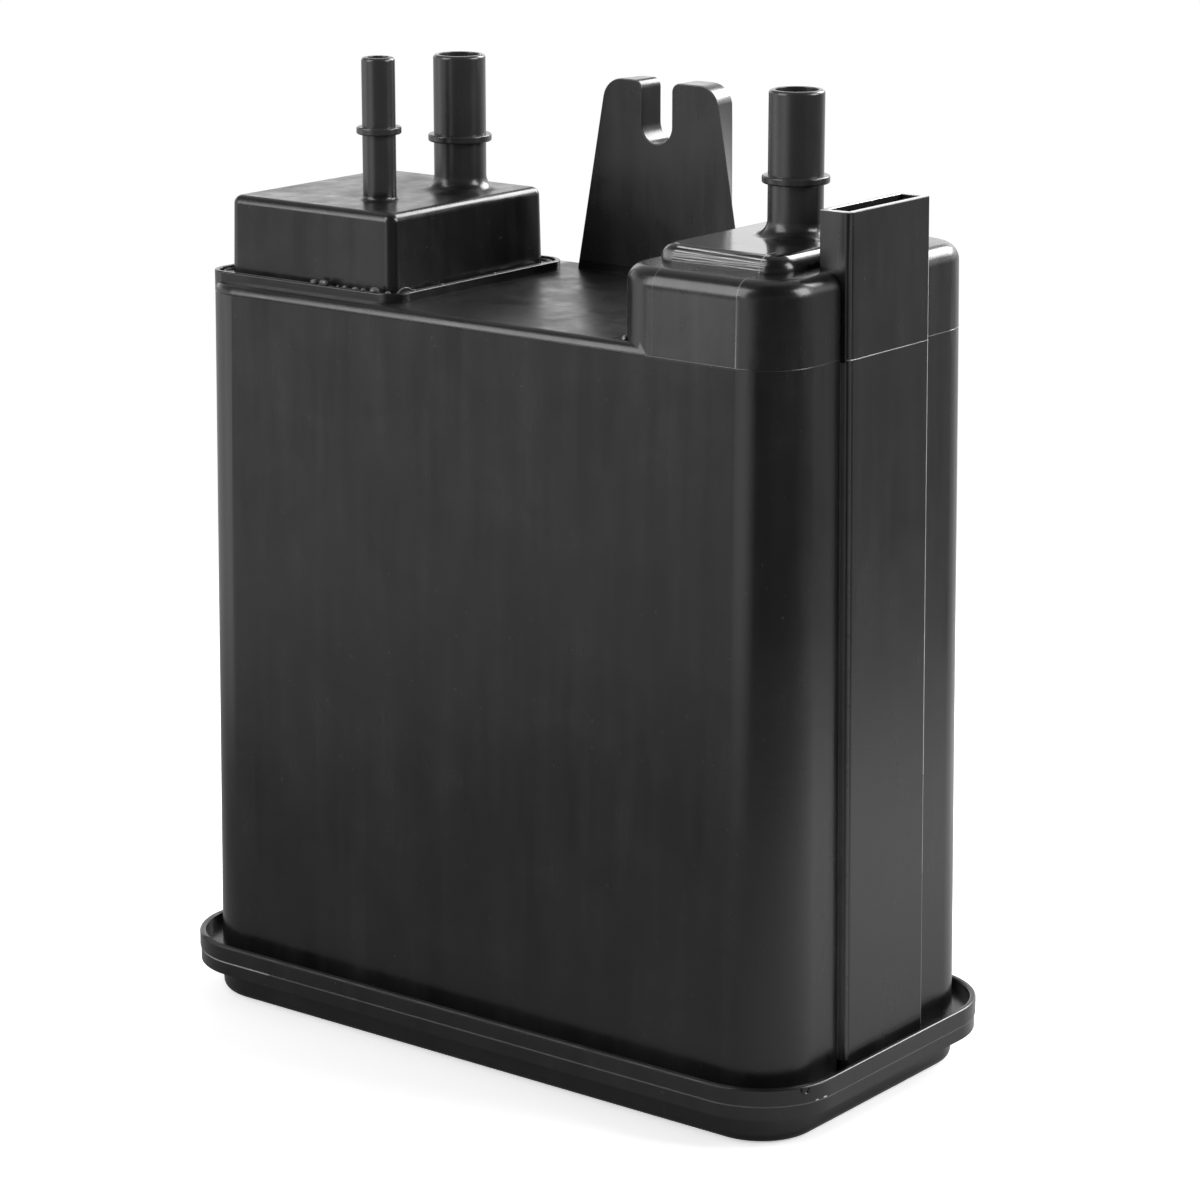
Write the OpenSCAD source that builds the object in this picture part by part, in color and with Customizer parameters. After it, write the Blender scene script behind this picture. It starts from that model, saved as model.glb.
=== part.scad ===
// Charcoal canister: a moulded fuel-vapour canister with welded port cap and bottom cover.
// Millimetres, +Z up, origin under the middle of the bottom cover.
// -X is the end with the port cap, +X the end with the clip socket, +Y the side with the mounting ear.

/* [Body shell] */
// Length of the shell at the parting line
body_len = 216.4; // [200:0.2:250]
// Depth of the shell at the parting line
body_dep = 98.6; // [92:0.2:125]
// Radius of the shell's vertical corners at the parting line
corner_r = 15.4; // [12:0.1:20]
// Mould draft of the shell's sides, in degrees
draft = 0.75; // [0.2:0.05:1.2]
// Wall thickness of every moulded piece
wall = 2.5; // [2:0.1:3]
// Height of the parting line above the underside
parting_z = 222.7; // [180:0.1:260]
// Radius of the fillet along the shell's top edge
top_fillet = 2.8; // [2.6:0.1:3.5]
// Thickness of the partition between the two carbon chambers
partition_t = 2.5; // [2:0.1:4]

/* [Weld flange and bottom cover] */
// How far the weld flange stands out from the shell
flange_out = 7.2; // [5.5:0.1:9]
// Height of the shell's band of the flange
flange_band = 5; // [4:0.1:7]
// Thickness of the flange's upturned rim
flange_rim_t = 1.9; // [1.5:0.1:2.4]
// Thickness of the floor of the flange's gutter
gutter_floor_t = 1.5; // [1.2:0.1:2.5]
// Height of the cover's band of the flange
cover_band = 4.4; // [3:0.1:6]
// How far the cover's band lies inside the shell's band
cover_inset = 0.3; // [0:0.1:1]
// How far the cover's tray reaches below its flange
tray_drop = 9.9; // [7:0.1:12]
// How far the tray's side lies inside the shell's side
tray_step = 0.1; // [0:0.1:1.5]
// Radius of the fillet along the tray's bottom edge
tray_fillet = 2.8; // [2.6:0.1:5.5]

/* [Vent block] */
// Length of the raised block at the parting line
block_len = 60.4; // [58:0.2:75]
// Height of the block above the parting line
block_h = 24.1; // [20:0.1:28]
// Radius of the fillet along the block's top edge
block_fillet = 5; // [4:0.1:6.5]
// Radius of the fillet at the foot of the block's free side
block_foot_fillet = 1.5; // [0.8:0.1:2.5]
// Length of the pad on the block
pad_len = 44; // [40:0.2:46]
// Depth of the pad on the block
pad_dep = 72.4; // [50:0.2:76]
// Height of the pad above the block
pad_h = 4.8; // [4.5:0.1:7]
// Radius of the fillet along the pad's top edge
pad_fillet = 4.4; // [2.8:0.1:4.4]
// Radius of the pad's vertical corners
pad_r = 7.2; // [6.5:0.1:10]
// Distance from the block's right face to the middle of the pad
pad_from_end = 32; // [31:0.2:34]

/* [Ports] */
// Outer diameter of the vent and tank ports
big_port_d = 15.8; // [14:0.1:17]
// Bore of the vent and tank ports
big_port_bore = 12.2; // [9:0.1:12.6]
// Outer diameter of the purge port
small_port_d = 10; // [7.9:0.1:11]
// Bore of the purge port
small_port_bore = 6.4; // [4:0.1:6.6]
// Height of the vent and tank ports above their seats
port_h = 40.8; // [36:0.2:48]
// Height of the purge port above the cap
small_port_h = 42.4; // [36:0.2:48]
// Distance from a big port's tip to its retaining bead
big_tip_to_bead = 25; // [20:0.2:28]
// Distance from the purge port's tip to its retaining bead
small_tip_to_bead = 21.6; // [18:0.2:26]
// How far a retaining bead stands out from its tube
bead_out = 1.7; // [1:0.1:2]
// Half the thickness of a retaining bead
bead_half = 1.1; // [0.8:0.1:1.6]
// Radius of a retaining bead's outer edges
bead_edge_r = 0.5; // [0.2:0.1:0.7]
// Radius of the fillet at the foot of the vent and tank ports
big_foot_fillet = 4.4; // [2:0.1:4.5]
// Radius of the fillet at the foot of the purge port
small_foot_fillet = 1.4; // [0.8:0.1:2.5]
// Distance of the vent port from the block's right face
vent_port_from_end = 30.5; // [29.5:0.1:34]

/* [Port cap] */
// Length of the port cap at its foot
cap_len = 65; // [54:0.5:70]
// Depth of the port cap at its foot
cap_dep = 72; // [58:0.5:74]
// Distance of the cap's middle from the shell's middle, towards the front
cap_forward = 3.4; // [0:0.1:3.8]
// Height of the cap's top above the parting line
cap_h = 28.1; // [22:0.1:32]
// Mould draft of the cap's sides, in degrees
cap_draft = 1.2; // [0:0.1:2]
// Radius of the cap's vertical corners
cap_r = 3.6; // [3.5:0.1:6]
// Radius of the fillet along the cap's top edge
cap_fillet = 2.6; // [1:0.1:3]
// Width of the cap's foot, which is welded to the ledge
cap_foot = 2.4; // [1.5:0.1:3]
// Thickness of the cap's foot
cap_foot_t = 1.2; // [0.8:0.1:1.6]
// Purge port's place from the middle of the cap, along the length
purge_x = 9.8; // [4:0.1:12]
// Purge port's place from the middle of the cap, along the depth
purge_y = -14.9; // [-18:0.1:-8]
// Tank port's place from the middle of the cap, along the length
tank_x = 15; // [6:0.1:15.4]
// Tank port's place from the middle of the cap, along the depth
tank_y = 16.4; // [14:0.1:18]

/* [Cap rim] */
// Distance from the cap's side to the rim's outer face
rim_out = 5.2; // [4.8:0.1:5.8]
// Thickness of the rim's lip
lip_t = 1.5; // [1:0.1:2]
// Radius of the rim's corners
rim_r = 7.2; // [6:0.2:10]
// Radius of the lip's top edges
lip_edge_r = 0.4; // [0.2:0.1:0.5]
// Height of the welding ledge above the shell's top
ledge_h = 0.6; // [0.3:0.1:1.2]
// Height of the rim's lip above the shell's top
lip_h = 2.9; // [2.2:0.1:3.6]
// Distance from the shell's left face to the rim's outer face
rim_from_end = 0.2; // [0.1:0.1:1.5]

/* [Clip socket and strip] */
// Width of the clip socket and of the strip below it
socket_w = 39.5; // [30:0.5:46]
// Distance of the socket's middle from the shell's middle, towards the front
socket_forward = 1.3; // [0:0.1:4]
// Thickness of the clip socket
socket_t = 10.3; // [9.5:0.1:11]
// Height of the socket's top above the parting line
socket_h = 40.8; // [38:0.2:46]
// How far the strip stands out from the shell's right face
strip_out = 2.8; // [2:0.1:3.4]
// Radius of the strip's front edge
strip_edge_r = 2; // [0.8:0.1:2]
// Radius of the socket's other upright edges
socket_edge_r = 0.6; // [0.3:0.1:1]
// Thickness of the socket's walls round its slot
socket_wall = 1.8; // [1.4:0.1:2.2]
// Depth of the slot in the socket
slot_depth = 13; // [6:0.5:14]

/* [Mounting ear] */
// Thickness of the ear
ear_t = 9.7; // [6:0.1:12]
// Height of the ear's top above the parting line
ear_h = 62.1; // [52:0.2:72]
// Width of the ear's front face at its foot
ear_foot_w = 63.4; // [54:0.2:70]
// Width of the ear's front face at its top, before rounding
ear_top_w = 43.4; // [40:0.2:50]
// Width of the ear's back face
ear_back_w = 39.6; // [36:0.2:43]
// Radius of the ear's top corners
ear_r = 7; // [4:0.2:8]
// Distance of the ear's middle from the shell's middle, towards the right
ear_right = 0.8; // [0:0.1:3]
// Distance of the ear's back face from the shell's back face
ear_inset = 0.5; // [0.3:0.1:1]
// Width of the ear's open slot
ear_slot_w = 11.2; // [8:0.1:13]
// Distance of the slot from the ear's middle, towards the left
ear_slot_left = 1.3; // [0:0.1:3]
// Depth of the ear's open slot
ear_slot_depth = 18.7; // [14:0.1:26]
// Radius of the slot's mouth
ear_mouth_r = 2.7; // [1:0.1:3.5]

/* [Carbon beds] */
// Thickness of each filter felt
felt_t = 4; // [2:0.5:6]
// Thickness of each retainer grid
grid_t = 3; // [2:0.5:5]
// Height of the retainer grids' underside above the cover's underside
grid_z = 22; // [20:0.5:32]
// Side clearance of the felts, beds and grids in their chamber
fit_gap = 0.4; // [0.2:0.1:1]
// Side of each square hole in the retainer grids
grid_hole = 7; // [4:0.5:8]
// Spacing of the holes in the retainer grids
grid_pitch = 11; // [10:0.5:16]
// Width of each vapour slot in the shell's wall under the port cap
vapour_slot_w = 4; // [2:0.5:5]
// Spacing of the vapour slots
vapour_slot_pitch = 9; // [7:0.5:14]

/* [Springs] */
// Outer diameter of the springs
spring_d = 24; // [18:0.5:28]
// Diameter of the spring wire
spring_wire = 1.6; // [1:0.1:2]
// Number of turns of each spring, closed ends included
spring_turns = 5; // [4:1:7]
// Half the spacing of the main chamber's springs along the length
main_spring_dx = 38; // [30:1:44]
// Half the spacing of all springs along the depth
spring_dy = 22; // [16:1:26]
// Height of the spigots that centre the springs
spigot_h = 4; // [2:0.5:5]
// Clearance between a spigot and its spring
spigot_gap = 0.4; // [0.2:0.1:1]

/* [Hidden] */
$fn = 64;
arc_steps = 8;
big = 1000;
cut = 1;
sink = 1.5;
coil_room = 1.15;
skin = 0.1;
least_fillet = 0.3;

core_len = body_len - 2 * corner_r;
core_dep = body_dep - 2 * corner_r;
top_z = parting_z + top_fillet;
seam_z = tray_drop + cover_band;
flange_top_z = seam_z + flange_band;
gutter_z = seam_z + gutter_floor_t;
cavity_top_z = top_z - wall;

block_x = body_len / 2 - block_len / 2;
block_left = body_len / 2 - block_len;
block_core_len = block_len - 2 * corner_r;
block_top_z = parting_z + block_h;
block_cavity_z = block_top_z - wall;
pad_x = body_len / 2 - pad_from_end;
pad_top_z = block_top_z + pad_h;
vent_port_x = body_len / 2 - vent_port_from_end;

cap_x = -body_len / 2 + rim_from_end + rim_out + cap_len / 2;
cap_top_z = parting_z + cap_h;
ledge_z = top_z + ledge_h;
lip_z = top_z + lip_h;

socket_outer_x = body_len / 2 + strip_out;
socket_top_z = parting_z + socket_h;

ear_top_z = parting_z + ear_h;
ear_foot_z = top_z - sink;
ear_back_y = body_dep / 2 - ear_inset;
ear_slot_r = ear_slot_w / 2;
ear_slot_x = ear_right - ear_slot_left;

felt_z = grid_z + grid_t;
bed_z = felt_z + felt_t;
main_felt_z = cavity_top_z - felt_t;
vent_felt_z = block_cavity_z - felt_t;
main_x0 = -core_len / 2 - corner_r;
main_x1 = block_left - fit_gap;
vent_x0 = block_left + partition_t + fit_gap;
vent_x1 = core_len / 2 + corner_r;
main_mid_x = (main_x0 + wall + block_left) / 2;
vent_mid_x = (block_left + partition_t + vent_x1 - wall) / 2;
spigot_r = spring_d / 2 - spring_wire - spigot_gap;
main_spring_places = [for (sx = [-1, 1], sy = [-1, 1]) [main_mid_x + sx * main_spring_dx, sy * spring_dy]];
vent_spring_places = [for (sy = [-1, 1]) [vent_mid_x, sy * spring_dy]];

moulded_black = "#1d1d1f";
carbon_black = "#0c0c0d";
felt_grey = "#c9c7bd";
spring_steel = "#9aa0a6";

// Distance of the shell's side from the corner axis at height z: the sides lean in towards the top.
function side(z) = corner_r + (parting_z - z) * tan(draft);

// Points of an arc round c from angle a0 to a1.
function arc(c, r, a0, a1) = [
    for (i = [0 : arc_steps]) let (a = a0 + (a1 - a0) * i / arc_steps) c + r * [cos(a), sin(a)]
];

// Profile of a filled block from its corner axis outwards: a straight drafted side and a filleted top edge.
function domed_profile(foot, shoulder, fillet, z0, z1) = concat(
    [[0, z0], [foot, z0]],
    arc([shoulder - fillet, z1 - fillet], fillet, 0, 90),
    [[0, z1]]
);

// Sweeps a profile round a rectangle of corner axes and fills the middle from z0 to z1.
// The profile is drawn as (distance from the corner axis, height).
module swept_block(len, dep, z0, z1, profile) {
    translate([-len / 2, -dep / 2, z0])
        cube([len, dep, z1 - z0]);
    for (s = [0, 1]) {
        rotate([0, 0, 180 * s])
            translate([len / 2, dep / 2, 0])
            rotate([90, 0, 0])
            linear_extrude(dep)
            polygon(profile);
        rotate([0, 0, 90 + 180 * s])
            translate([dep / 2, len / 2, 0])
            rotate([90, 0, 0])
            linear_extrude(len)
            polygon(profile);
    }
    for (sx = [0, 1], sy = [0, 1])
        mirror([sx, 0, 0])
            mirror([0, sy, 0])
            translate([len / 2, dep / 2, 0])
            rotate_extrude(angle = 90)
            polygon(profile);
}

// A tube with a rounded tip, a retaining bead and a filleted foot, standing on z = 0.
module port_tube(d, h, tip_to_bead, foot_fillet) {
    r = d / 2;
    tip_r = 1;
    bead_z = h - tip_to_bead;
    bead_edge = [r + bead_out - bead_edge_r, bead_half - bead_edge_r];
    rotate_extrude()
        polygon(concat(
            [[0, -sink], [r + foot_fillet, -sink]],
            arc([r + foot_fillet, foot_fillet], foot_fillet, 270, 180),
            [[r, bead_z - bead_half]],
            arc([bead_edge.x, bead_z - bead_edge.y], bead_edge_r, 270, 360),
            arc([bead_edge.x, bead_z + bead_edge.y], bead_edge_r, 0, 90),
            [[r, bead_z + bead_half]],
            arc([r - tip_r, h - tip_r], tip_r, 0, 90),
            [[0, h]]
        ));
}

// The bore of a tube, from its tip down through the wall that it stands on.
module port_bore(bore, h) {
    translate([0, 0, -wall - pad_h - cut])
        cylinder(d = bore, h = h + wall + pad_h + 2 * cut);
}

// The shell's outside with its U-shaped weld flange.
module shell_outside() {
    flange_d = side(flange_top_z) + flange_out;
    edge_r = 0.6;
    profile = concat(
        [[0, seam_z], [flange_d, seam_z]],
        arc([flange_d - edge_r, flange_top_z - edge_r], edge_r, 0, 90),
        arc([flange_d - flange_rim_t + edge_r, flange_top_z - edge_r], edge_r, 90, 180),
        [[flange_d - flange_rim_t, gutter_z], [side(gutter_z), gutter_z]],
        arc([corner_r - top_fillet, parting_z], top_fillet, 0, 90),
        [[0, top_z]]
    );
    swept_block(core_len, core_dep, seam_z, top_z, profile);
}

// The raised block over the vent chamber, with its pad.
module block_outside() {
    translate([block_x, 0, 0])
        swept_block(block_core_len, core_dep, parting_z, block_top_z,
            domed_profile(corner_r, side(block_top_z), block_fillet, parting_z, block_top_z));
    translate([pad_x, 0, 0])
        swept_block(pad_len - 2 * pad_r, pad_dep - 2 * pad_r, block_top_z - sink, pad_top_z,
            domed_profile(pad_r, pad_r, pad_fillet, block_top_z - sink, pad_top_z));
}

// The fillet at the foot of the block's free side, which ends where the shell's top edge rolls off.
module block_foot() {
    r = block_foot_fillet;
    face_d = corner_r - skin;
    turn = asin((corner_r - top_fillet) / (corner_r + r));
    profile = concat(
        [[face_d - sink, top_z - sink], [face_d + r, top_z - sink]],
        arc([face_d + r, top_z + r], r, 270, 180),
        [[face_d - sink, top_z + r]]
    );
    translate([block_left + corner_r, 0, 0]) {
        rotate([0, 0, 180])
            translate([0, core_dep / 2, 0])
            rotate([90, 0, 0])
            linear_extrude(core_dep)
            polygon(profile);
        for (s = [0, 1])
            mirror([0, s, 0])
                translate([0, -core_dep / 2, 0])
                rotate([0, 0, 180])
                rotate_extrude(angle = turn)
                polygon(profile);
    }
}

// The rim round the port cap: a welding ledge inside a thin lip.
module cap_rim() {
    outer_len = cap_len + 2 * rim_out;
    outer_dep = cap_dep + 2 * rim_out;
    lip_edge_z = lip_z - lip_edge_r;
    ledge_profile = concat(
        [[0, parting_z], [rim_r, parting_z]],
        arc([rim_r - lip_edge_r, lip_edge_z], lip_edge_r, 0, 90),
        arc([rim_r - lip_t + lip_edge_r, lip_edge_z], lip_edge_r, 90, 180),
        [[rim_r - lip_t, ledge_z], [0, ledge_z]]
    );
    translate([cap_x, -cap_forward, 0])
        swept_block(outer_len - 2 * rim_r, outer_dep - 2 * rim_r, parting_z, ledge_z, ledge_profile);
}

// Section of the strip and socket seen from above, with rounded upright edges at +X.
module socket_section(thickness) {
    half = socket_w / 2;
    polygon(concat(
        arc([-strip_edge_r, -half + strip_edge_r], strip_edge_r, -90, 0),
        arc([-socket_edge_r, half - socket_edge_r], socket_edge_r, 0, 90),
        arc([-thickness + socket_edge_r, half - socket_edge_r], socket_edge_r, 90, 180),
        arc([-thickness + socket_edge_r, -half + socket_edge_r], socket_edge_r, 180, 270)
    ));
}

// Stands a child on the strip's outer face, which leans with the shell's draft.
module on_strip() {
    translate([socket_outer_x, -socket_forward, parting_z])
        rotate([0, -draft, 0])
        children();
}

// The clip socket above the block, and the strip that carries it down to the flange.
module socket_outside() {
    strip_foot = parting_z - gutter_z + gutter_floor_t / 2;
    socket_foot = block_h - block_fillet - sink;
    on_strip()
        translate([0, 0, -strip_foot])
        linear_extrude(strip_foot + socket_h)
        socket_section(strip_out + wall / 2);
    on_strip()
        translate([0, 0, socket_foot])
        linear_extrude(socket_h - socket_foot)
        socket_section(socket_t);
}

// The slot that the mating clip enters from above.
module socket_slot() {
    on_strip()
        translate([-socket_t + socket_wall, -socket_w / 2 + socket_wall, socket_h - slot_depth])
        cube([socket_t - 2 * socket_wall, socket_w - 2 * socket_wall, slot_depth + cut]);
}

// Half the ear's width at height z: straight from a foot of half width foot to a corner arc that starts at angle a0.
function ear_half(z, foot, arc_x, a0) =
    let (arc_z = ear_top_z - ear_r, joint = [arc_x + ear_r * cos(a0), arc_z + ear_r * sin(a0)])
    z < joint.y
        ? joint.x + (foot - joint.x) * (joint.y - z) / (joint.y - ear_foot_z)
        : arc_x + sqrt(max(0, ear_r * ear_r - (z - arc_z) * (z - arc_z)));

// The mounting ear: its front face is a trapezoid, its back face has upright sides, and straight lines join the two.
module ear_blank() {
    front_arc_x = ear_top_w / 2 - ear_r;
    back_arc_x = ear_back_w / 2 - ear_r;
    arc_z = ear_top_z - ear_r;
    reach = [ear_foot_w / 2 - front_arc_x, ear_foot_z - arc_z];
    lean = atan2(reach.y, reach.x) + acos(ear_r / norm(reach));
    bend_z = arc_z + ear_r * sin(lean);
    levels = concat(
        [for (i = [0 : arc_steps - 1]) ear_foot_z + (bend_z - ear_foot_z) * i / arc_steps],
        [for (i = [0 : arc_steps]) arc_z + ear_r * sin(lean + (90 - lean) * i / arc_steps)]
    );
    last = len(levels) - 1;
    points = [for (z = levels)
        let (front = ear_half(z, ear_foot_w / 2, front_arc_x, lean), back = ear_half(z, ear_back_w / 2, back_arc_x, 0))
        each [
            [-front, -ear_t, z], [front, -ear_t, z],
            [back, 0, z], [-back, 0, z]
        ]
    ];
    translate([ear_right, ear_back_y, 0])
        polyhedron(points, concat(
            [[0, 1, 2, 3], [for (k = [3 : -1 : 0]) 4 * last + k]],
            [for (i = [0 : last - 1], k = [0 : 3], half = [0, 1])
                let (a = 4 * i + k, b = 4 * i + (k + 1) % 4)
                half == 0 ? [a, a + 4, b] : [b, a + 4, b + 4]
            ]
        ));
}

// The open slot of the ear, with a round bottom and a rounded mouth.
module ear_slot() {
    bottom_z = ear_top_z - ear_slot_depth + ear_slot_r;
    half = ear_slot_r;
    mouth = concat(
        [[-half, bottom_z], [half, bottom_z]],
        arc([half + ear_mouth_r, ear_top_z - ear_mouth_r], ear_mouth_r, 180, 90),
        [[half + ear_mouth_r, ear_top_z + cut], [-half - ear_mouth_r, ear_top_z + cut]],
        arc([-half - ear_mouth_r, ear_top_z - ear_mouth_r], ear_mouth_r, 90, 0)
    );
    translate([ear_slot_x, ear_back_y + cut, 0])
        rotate([90, 0, 0])
        linear_extrude(ear_t + 2 * cut)
        polygon(mouth);
    translate([ear_slot_x, ear_back_y + cut, bottom_z])
        rotate([90, 0, 0])
        cylinder(r = ear_slot_r, h = ear_t + 2 * cut);
}

// The shell's inside below its top wall, with the partition left standing.
module chambers() {
    difference() {
        swept_block(core_len, core_dep, seam_z - cut, cavity_top_z, [
            [0, seam_z - cut], [side(seam_z - cut) - wall, seam_z - cut],
            [side(cavity_top_z) - wall, cavity_top_z], [0, cavity_top_z]
        ]);
        translate([block_left, -big / 2, grid_z])
            cube([partition_t, big, big]);
    }
    translate([block_x, 0, 0])
        swept_block(block_core_len, core_dep, parting_z - felt_t, block_cavity_z,
            domed_profile(side(parting_z) - wall, side(block_cavity_z) - wall,
                block_fillet - wall, parting_z - felt_t, block_cavity_z));
    translate([pad_x, 0, 0])
        swept_block(pad_len - 2 * pad_r, pad_dep - 2 * pad_r, block_cavity_z - cut, pad_top_z - wall,
            domed_profile(pad_r - wall, pad_r - wall, pad_fillet - wall, block_cavity_z - cut, pad_top_z - wall));
}

// Vapour slots through the shell's top wall, under the port cap.
module vapour_slots() {
    slot_len = cap_dep - 2 * wall - 2 * vapour_slot_pitch;
    count = floor((cap_len - 2 * wall - vapour_slot_pitch) / vapour_slot_pitch);
    first_x = cap_x - (count - 1) / 2 * vapour_slot_pitch - vapour_slot_w / 2;
    for (i = [0 : count - 1])
        translate([first_x + i * vapour_slot_pitch, -cap_forward - slot_len / 2, main_felt_z])
            cube([vapour_slot_w, slot_len, ledge_z - main_felt_z + cut]);
}

// One moulding: shell, vent block, pad, vent port, clip socket, strip, mounting ear and cap rim.
module canister_body() {
    color(moulded_black)
        difference() {
            union() {
                shell_outside();
                block_outside();
                block_foot();
                cap_rim();
                socket_outside();
                ear_blank();
                translate([vent_port_x, 0, pad_top_z])
                    port_tube(big_port_d, port_h, big_tip_to_bead, big_foot_fillet);
            }
            chambers();
            vapour_slots();
            socket_slot();
            ear_slot();
            translate([vent_port_x, 0, pad_top_z])
                port_bore(big_port_bore, port_h);
        }
}

// Places a child at the foot of a port on the cap's top.
module on_cap(x, y) {
    translate([cap_x + x, y - cap_forward, cap_top_z])
        children();
}

// The welded cap over the vapour slots, with the purge port and the tank port.
module port_cap() {
    shoulder = cap_r - (cap_top_z - ledge_z) * tan(cap_draft);
    foot_z = ledge_z + cap_foot_t;
    outside = concat(
        [[0, ledge_z], [cap_r + cap_foot, ledge_z], [cap_r + cap_foot, foot_z], [cap_r, foot_z]],
        arc([shoulder - cap_fillet, cap_top_z - cap_fillet], cap_fillet, 0, 90),
        [[0, cap_top_z]]
    );
    inside = [
        [0, ledge_z - cut], [cap_r - wall, ledge_z - cut],
        [shoulder - wall, cap_top_z - wall], [0, cap_top_z - wall]
    ];
    color(moulded_black)
        difference() {
            union() {
                translate([cap_x, -cap_forward, 0])
                    swept_block(cap_len - 2 * cap_r, cap_dep - 2 * cap_r, ledge_z, cap_top_z, outside);
                on_cap(purge_x, purge_y)
                    port_tube(small_port_d, small_port_h, small_tip_to_bead, small_foot_fillet);
                on_cap(tank_x, tank_y)
                    port_tube(big_port_d, port_h, big_tip_to_bead, big_foot_fillet);
            }
            translate([cap_x, -cap_forward, 0])
                swept_block(cap_len - 2 * cap_r, cap_dep - 2 * cap_r, ledge_z - cut, cap_top_z - wall, inside);
            on_cap(purge_x, purge_y)
                port_bore(small_port_bore, small_port_h);
            on_cap(tank_x, tank_y)
                port_bore(big_port_bore, port_h);
        }
}

// The welded tray that closes the shell's bottom, with spigots for the springs.
module bottom_cover() {
    tray_d = side(seam_z) - tray_step;
    band_d = side(flange_top_z) + flange_out - cover_inset;
    outside = concat(
        [[0, 0]],
        arc([tray_d - tray_fillet, tray_fillet], tray_fillet, 270, 360),
        [[tray_d, tray_drop], [band_d, tray_drop], [band_d, seam_z], [0, seam_z]]
    );
    inner_fillet = max(tray_fillet - wall, least_fillet);
    inside = concat(
        [[0, tray_fillet - inner_fillet]],
        arc([tray_d - tray_fillet, tray_fillet], inner_fillet, 270, 360),
        [[tray_d - wall, seam_z + cut], [0, seam_z + cut]]
    );
    color(moulded_black) {
        difference() {
            swept_block(core_len, core_dep, 0, seam_z, outside);
            swept_block(core_len, core_dep, tray_fillet - inner_fillet, seam_z + cut, inside);
        }
        for (p = concat(main_spring_places, vent_spring_places))
            translate([p.x, p.y, wall / 2])
                cylinder(r = spigot_r, h = wall / 2 + spigot_h);
    }
}

// A slab that fills a chamber from z0 to z1 between x0 and x1, clear of the drafted walls.
module chamber_slab(z0, z1, x0, x1) {
    intersection() {
        swept_block(core_len, core_dep, z0, z1, [
            [0, z0], [side(z0) - wall - fit_gap, z0],
            [side(z1) - wall - fit_gap, z1], [0, z1]
        ]);
        translate([x0, -big / 2, z0 - cut])
            cube([x1 - x0, big, z1 - z0 + 2 * cut]);
    }
}

// A slab that fills the block's inside from z0 to z1, clear of its walls and of its inner fillet.
module block_slab(z0, z1, z_fillet) {
    inset = wall + fit_gap;
    edge = block_fillet - wall;
    translate([block_x, 0, 0])
        swept_block(block_core_len, core_dep, z0, z1,
            z_fillet
                ? domed_profile(side(z0) - inset, side(z1) - inset, edge, z0, z1)
                : [[0, z0], [side(z0) - inset, z0], [side(z1) - inset, z1], [0, z1]]);
}

// Packed carbon pellets under the port cap.
module main_carbon_bed() {
    color(carbon_black)
        chamber_slab(bed_z, main_felt_z, main_x0, main_x1);
}

// Packed carbon pellets under the vent block.
module vent_carbon_bed() {
    joint_z = parting_z - felt_t / 2;
    color(carbon_black) {
        chamber_slab(bed_z, joint_z, vent_x0, vent_x1);
        block_slab(joint_z, vent_felt_z, false);
    }
}

// Filter felt between the main bed and the shell's top wall.
module main_upper_felt() {
    color(felt_grey)
        chamber_slab(main_felt_z, cavity_top_z, main_x0, main_x1);
}

// Filter felt between the vent bed and the block's top wall.
module vent_upper_felt() {
    color(felt_grey)
        block_slab(vent_felt_z, block_cavity_z, true);
}

// Filter felt under the main bed.
module main_lower_felt() {
    color(felt_grey)
        chamber_slab(felt_z, bed_z, main_x0, main_x1);
}

// Filter felt under the vent bed.
module vent_lower_felt() {
    color(felt_grey)
        chamber_slab(felt_z, bed_z, vent_x0, vent_x1);
}

// A perforated plate that fills a chamber, with a spigot under it for each spring.
module retainer_grid(x0, x1, mid_x, places) {
    margin = 2 * wall + grid_hole / 2;
    half_x = min(mid_x - x0, x1 - mid_x) - margin - wall;
    half_y = body_dep / 2 - margin - wall;
    nx = floor(half_x / grid_pitch);
    ny = floor(half_y / grid_pitch);
    color(moulded_black) {
        difference() {
            chamber_slab(grid_z, grid_z + grid_t, x0, x1);
            for (ix = [-nx : nx], iy = [-ny : ny])
                translate([mid_x + ix * grid_pitch, iy * grid_pitch, grid_z + grid_t / 2])
                    cube([grid_hole, grid_hole, grid_t + 2 * cut], center = true);
        }
        for (p = places)
            translate([p.x, p.y, grid_z - spigot_h])
                cylinder(r = spigot_r, h = spigot_h + grid_t);
    }
}

module main_retainer_grid() {
    retainer_grid(main_x0, main_x1, main_mid_x, main_spring_places);
}

module vent_retainer_grid() {
    retainer_grid(vent_x0, vent_x1, vent_mid_x, vent_spring_places);
}

// Turns of the flat part at each end of a spring of height h: as long as the next turn clears it.
function spring_flat(h) =
    let (rise = h - spring_wire, step = coil_room * spring_wire)
    (rise - step * spring_turns) / (rise - 2 * step);

// Height of the wire's middle after t turns: closed flat ends, even pitch between them.
function spring_rise(t, h) =
    let (flat = spring_flat(h), u = (t - flat) / (spring_turns - 2 * flat))
    spring_wire / 2 + (h - spring_wire) * min(max(u, 0), 1);

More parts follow.
